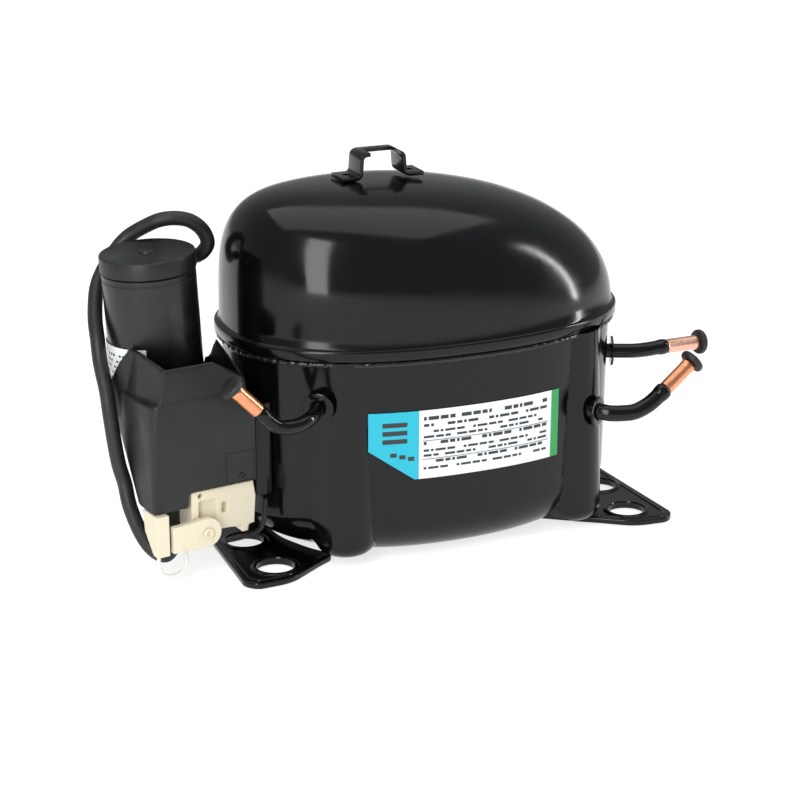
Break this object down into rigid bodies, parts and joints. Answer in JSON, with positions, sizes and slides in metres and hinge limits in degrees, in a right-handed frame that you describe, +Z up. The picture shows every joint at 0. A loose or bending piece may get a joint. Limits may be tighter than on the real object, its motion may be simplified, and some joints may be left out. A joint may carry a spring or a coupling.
{
  "type": "hermetic reciprocating compressor",
  "caption": "Hermetic reciprocating compressor: welded black steel shell on base plates, sprung motor and piston pump inside, plugged copper-ended tubes, electrical box and start capacitor.",
  "frame": {"origin": "on the floor under the middle of the object without its capacitor lead: the middle of the bounding box in X and Y, the base plates' underside in Z", "axes": "+Z up; +X along the shell's long side, from the electrical box towards the suction tube; +Y from the nameplate side to the back"},
  "size_m": [0.2753, 0.1379, 0.1656],
  "materials": {
    "aluminium": "satin",
    "black_paint": "gloss",
    "black_plastic": "satin",
    "black_rubber": "matte",
    "cast_iron": "matte",
    "copper": "satin",
    "electrical_steel": "matte",
    "label_film": "satin",
    "spring_steel": "satin",
    "steel": "satin",
    "white_plastic": "satin",
    "winding_copper": "gloss"
  },
  "bodies": {
    "shell": {"base_plate_left": "black_paint", "base_plate_right": "black_paint", "capacitor_can": "black_plastic", "capacitor_cap": "black_plastic", "capacitor_label": "label_film", "capacitor_lead": "black_rubber", "clamp_pin": "white_plastic", "cord_clamp_base": "white_plastic", "discharge_collar": "black_paint", "discharge_copper_end": "copper", "discharge_tube": "black_paint", "electrical_cover": "black_plastic", "hermetic_terminal": "steel", "lower_shell": "black_paint", "nameplate": "label_film", "overload_protector": "black_plastic", "process_collar": "black_paint", "process_copper_end": "copper", "process_tube": "black_paint", "retaining_clip": "steel", "spring_stud_1": "steel", "spring_stud_2": "steel", "spring_stud_3": "steel", "spring_stud_4": "steel", "start_relay": "black_plastic", "suction_collar": "black_paint", "suction_copper_end": "copper", "suction_tube": "black_paint", "terminal_block": "white_plastic", "terminal_fence": "steel", "tether_loop": "white_plastic", "top_bracket": "black_paint", "upper_shell": "black_paint", "weld_seam": "black_paint"},
    "pump": {"stator_core": "electrical_steel", "upper_winding": "winding_copper", "lower_winding": "winding_copper", "cylinder_block": "cast_iron", "valve_plate": "steel", "cylinder_head": "aluminium", "suction_muffler": "white_plastic", "discharge_line": "copper", "suspension_spring_1": "spring_steel", "suspension_spring_2": "spring_steel", "suspension_spring_3": "spring_steel", "suspension_spring_4": "spring_steel"},
    "rotor": {"rotor": "aluminium", "crankshaft": "steel", "oil_pickup": "steel"},
    "piston": {"piston": "steel", "wrist_pin": "steel"},
    "connecting_rod": {"connecting_rod": "aluminium", "crank_pin": "steel"},
    "suction_reed": {"suction_reed": "spring_steel"},
    "discharge_reed": {"discharge_reed": "spring_steel"},
    "clamp_arm": {"cord_clamp_arm": "white_plastic"},
    "suction_plug": {"suction_plug": "black_rubber"},
    "process_plug": {"process_plug": "black_rubber"},
    "discharge_plug": {"discharge_plug": "black_rubber"}
  },
  "joints": [
    {"name": "suspension", "type": "slide", "parent": "shell", "child": "pump", "axis": [0, 0, 1], "range_m": [-0.003, 0.003], "stiffness_N_per_m": 12000, "springref_m": 0.003, "deforming": ["suspension_spring_1", "suspension_spring_2", "suspension_spring_3", "suspension_spring_4", "discharge_line"]},
    {"name": "crank_spin", "type": "hinge", "parent": "pump", "child": "rotor", "pos_m": [0.0093, -0.0048, 0.05], "axis": [0, 0, 1], "continuous": true},
    {"name": "piston_slide", "type": "slide", "parent": "pump", "child": "piston", "axis": [1, 0, 0], "range_m": [0, 0.016]},
    {"name": "rod_swing", "type": "hinge", "parent": "piston", "child": "connecting_rod", "pos_m": [-0.0367, -0.0048, 0.116], "axis": [0, 0, 1], "range_deg": [-12.15, 12.15]},
    {"name": "suction_reed_flex", "type": "hinge", "parent": "pump", "child": "suction_reed", "pos_m": [-0.0497, 0.0002, 0.108], "axis": [0, 1, 0], "range_deg": [0, 2], "stiffness_Nm_per_rad": 0.03},
    {"name": "discharge_reed_flex", "type": "hinge", "parent": "pump", "child": "discharge_reed", "pos_m": [-0.0537, -0.0098, 0.108], "axis": [0, -1, 0], "range_deg": [0, 4], "stiffness_Nm_per_rad": 0.03},
    {"name": "clamp_arm_hinge", "type": "hinge", "parent": "shell", "child": "clamp_arm", "pos_m": [-0.10447, -0.04122, 0.0207], "axis": [0.1564, -0.9877, 0], "range_deg": [0, 70]},
    {"name": "suction_plug_pull", "type": "slide", "parent": "shell", "child": "suction_plug", "axis": [0.9943, 0.1018, -0.0308], "range_m": [0, 0.015]},
    {"name": "process_plug_pull", "type": "slide", "parent": "shell", "child": "process_plug", "axis": [0.8065, 0.1292, 0.577], "range_m": [0, 0.015]},
    {"name": "discharge_plug_pull", "type": "slide", "parent": "shell", "child": "discharge_plug", "axis": [-0.6934, 0.005, 0.7205], "range_m": [0, 0.015]}
  ]
}
